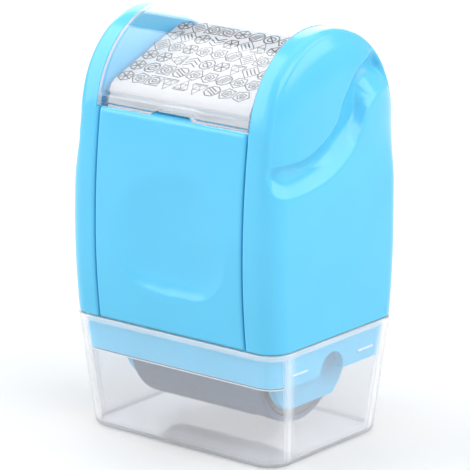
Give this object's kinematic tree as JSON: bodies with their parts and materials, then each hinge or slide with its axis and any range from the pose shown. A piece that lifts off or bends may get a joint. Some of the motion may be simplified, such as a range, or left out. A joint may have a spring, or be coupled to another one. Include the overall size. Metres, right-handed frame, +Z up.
{
  "type": "privacy roller stamp",
  "caption": "Hand-held privacy roller stamp with rounded blue cheeks, dimpled panels, hinged clear label window, frosted lift-off cap, printing drum and inking roller",
  "frame": {"origin": "middle of the cap's flat bottom, on which the stamp stands", "axes": "+X to the right along the roller as seen from the front, +Y to the rear, +Z up"},
  "size_m": [0.0438, 0.0344, 0.0699],
  "materials": {
    "blue_gloss": "satin gloss sky blue",
    "blue_inner": "satin sky blue",
    "clear_plastic": "clear polished",
    "frosted_plastic": "translucent frosted",
    "card_stock": "smooth white card",
    "black_rubber": "matt moulded",
    "grey_plastic": "matt dark grey",
    "ink_felt": "ink-soaked foam and felt",
    "steel": "drawn steel",
    "white_plastic": "natural acetal"
  },
  "bodies": {
    "housing": {"chassis": "blue_inner", "front_panel": "blue_gloss", "rear_panel": "blue_gloss", "left_cheek": "blue_gloss", "right_cheek": "blue_gloss", "label_bed": "blue_inner", "label_card": "card_stock", "filler_tube": "blue_inner", "window_hinge_pin": "steel", "cartridge_bridge": "blue_inner", "left_side_plate": "blue_inner", "right_side_plate": "blue_inner", "ink_pad": "ink_felt", "ink_roller_axle": "steel", "drum_axle": "steel"},
    "window": {"window_cover": "clear_plastic"},
    "cap": {"cap": "frosted_plastic"},
    "drum": {"drum_core": "grey_plastic", "stamp_sleeve": "black_rubber", "left_drum_bush": "white_plastic", "right_drum_bush": "white_plastic"},
    "ink_roller": {"ink_roller_foam": "ink_felt", "ink_roller_core": "white_plastic"}
  },
  "joints": [
    {"name": "window_hinge", "type": "hinge", "parent": "housing", "child": "window", "pos_m": [0, 0.0143, 0.0568], "axis": [-1, 0, 0], "range_deg": [0, 95]},
    {"name": "cap_slide", "type": "slide", "parent": "housing", "child": "cap", "axis": [0, 0, -1], "range_m": [0, 0.03]},
    {"name": "drum_spin", "type": "hinge", "parent": "housing", "child": "drum", "pos_m": [0, 0, 0.0144], "axis": [1, 0, 0], "continuous": true},
    {"name": "ink_roller_spin", "type": "hinge", "parent": "housing", "child": "ink_roller", "pos_m": [0, 0, 0.0305], "axis": [1, 0, 0], "continuous": true}
  ],
  "couplings": [
    {"joint": "ink_roller_spin", "follows": "drum_spin", "ratio": -2.0385}
  ]
}
